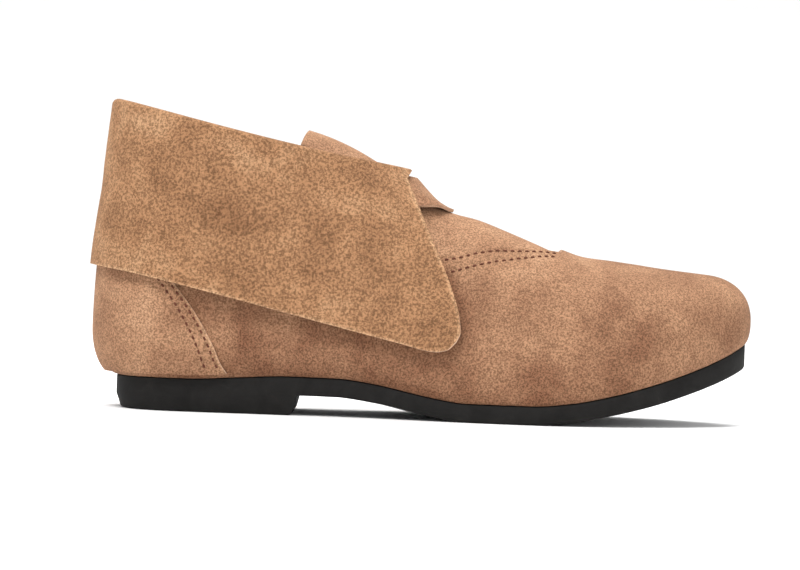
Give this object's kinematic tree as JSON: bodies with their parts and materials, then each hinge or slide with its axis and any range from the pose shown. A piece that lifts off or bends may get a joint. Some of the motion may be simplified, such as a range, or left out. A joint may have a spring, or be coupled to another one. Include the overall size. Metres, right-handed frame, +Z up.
{
  "type": "medieval ankle shoe",
  "caption": "Right ankle shoe in suede with a wide turned-down cuff, a tongue, a front flap, a heel counter and a black one-piece sole with a low heel.",
  "frame": {"origin": "middle of the flat underside of the heel, on the floor", "axes": "+X forwards to the toe, +Y to the inner side of the foot, +Z up"},
  "size_m": [0.2876, 0.1001, 0.133],
  "materials": {
    "smooth_suede": "matt, short nap",
    "rough_suede": "matt, coarse nap",
    "lining_leather": "matt",
    "black_rubber": "satin"
  },
  "bodies": {
    "root": {"outsole": "black_rubber", "insole": "lining_leather", "upper": "smooth_suede", "heel_counter": "smooth_suede", "tongue": "smooth_suede", "front_flap": "smooth_suede", "cuff": "rough_suede"}
  },
  "joints": []
}
